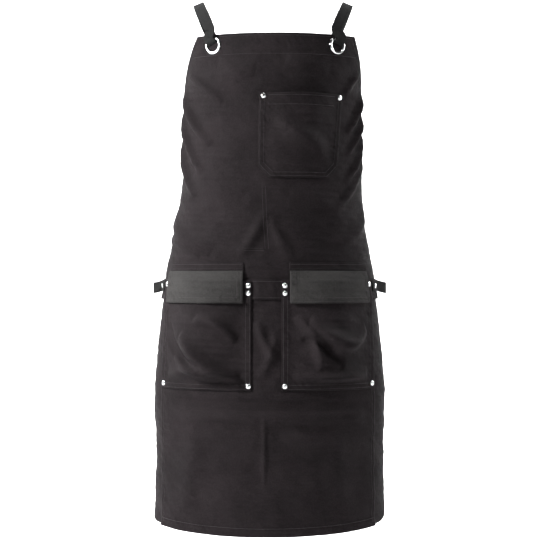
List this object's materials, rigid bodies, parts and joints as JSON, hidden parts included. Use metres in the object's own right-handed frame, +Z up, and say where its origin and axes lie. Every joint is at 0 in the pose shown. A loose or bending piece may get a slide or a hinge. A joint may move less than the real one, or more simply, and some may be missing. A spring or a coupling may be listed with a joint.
{
  "type": "artist smock apron",
  "caption": "Black canvas artist apron with a bib pocket, flapped hip pockets, and webbing straps that run through eyelets and cross at the back.",
  "frame": {"origin": "the middle of the line across the wearer's shoulders that both straps rest on", "axes": "+Z up, -Y out of the front of the apron, +X to the wearer's left"},
  "size_m": [0.4187, 0.2566, 0.9351],
  "materials": {
    "apron_canvas": "near-black cotton canvas",
    "strap_webbing": "flat ribbed cotton webbing",
    "bright_hardware": "bright nickel plate"
  },
  "bodies": {
    "apron": {"bib_panel": "apron_canvas", "bib_top_facing": "apron_canvas", "chest_pocket": "apron_canvas", "waistband": "apron_canvas", "skirt_panel": "apron_canvas", "left_side_panel": "apron_canvas", "left_hip_pocket": "apron_canvas", "left_flap_band": "apron_canvas", "left_eyelet": "bright_hardware", "left_eyelet_washer": "bright_hardware", "left_shoulder_strap": "strap_webbing", "right_side_panel": "apron_canvas", "right_hip_pocket": "apron_canvas", "right_flap_band": "apron_canvas", "right_eyelet": "bright_hardware", "right_eyelet_washer": "bright_hardware", "right_shoulder_strap": "strap_webbing", "rivet_chest_outer": "bright_hardware", "rivet_chest_inner": "bright_hardware", "rivet_left_mouth_outer": "bright_hardware", "rivet_left_mouth_inner": "bright_hardware", "rivet_left_mouth_second": "bright_hardware", "rivet_left_foot_outer": "bright_hardware", "rivet_left_foot_inner": "bright_hardware", "rivet_left_strap": "bright_hardware", "rivet_right_mouth_outer": "bright_hardware", "rivet_right_mouth_inner": "bright_hardware", "rivet_right_mouth_second": "bright_hardware", "rivet_right_foot_outer": "bright_hardware", "rivet_right_foot_inner": "bright_hardware", "rivet_right_strap": "bright_hardware", "rivet_back_chest_outer": "bright_hardware", "rivet_back_chest_inner": "bright_hardware", "rivet_back_left_mouth_outer": "bright_hardware", "rivet_back_left_mouth_inner": "bright_hardware", "rivet_back_left_mouth_second": "bright_hardware", "rivet_back_left_foot_outer": "bright_hardware", "rivet_back_left_foot_inner": "bright_hardware", "rivet_back_left_strap": "bright_hardware", "rivet_back_right_mouth_outer": "bright_hardware", "rivet_back_right_mouth_inner": "bright_hardware", "rivet_back_right_mouth_second": "bright_hardware", "rivet_back_right_foot_outer": "bright_hardware", "rivet_back_right_foot_inner": "bright_hardware", "rivet_back_right_strap": "bright_hardware"},
    "left_flap": {"left_flap": "apron_canvas"},
    "right_flap": {"right_flap": "apron_canvas"},
    "left_slider": {"left_slider": "bright_hardware", "left_strap_end": "strap_webbing"},
    "right_slider": {"right_slider": "bright_hardware", "right_strap_end": "strap_webbing"}
  },
  "joints": [
    {"name": "left_flap_hinge", "type": "hinge", "parent": "apron", "child": "left_flap", "pos_m": [0.10852, -0.1002, -0.475], "axis": [-0.9102, -0.4142, 0], "range_deg": [0, 150]},
    {"name": "right_flap_hinge", "type": "hinge", "parent": "apron", "child": "right_flap", "pos_m": [-0.11797, -0.09554, -0.475], "axis": [-0.8873, 0.4612, 0], "range_deg": [0, 150]},
    {"name": "left_slider_slide", "type": "slide", "parent": "apron", "child": "left_slider", "axis": [-0.5908, 0.1513, -0.7925], "range_m": [-0.02, 0.025]},
    {"name": "right_slider_slide", "type": "slide", "parent": "apron", "child": "right_slider", "axis": [0.5324, 0.1293, -0.8366], "range_m": [-0.02, 0.025]}
  ]
}
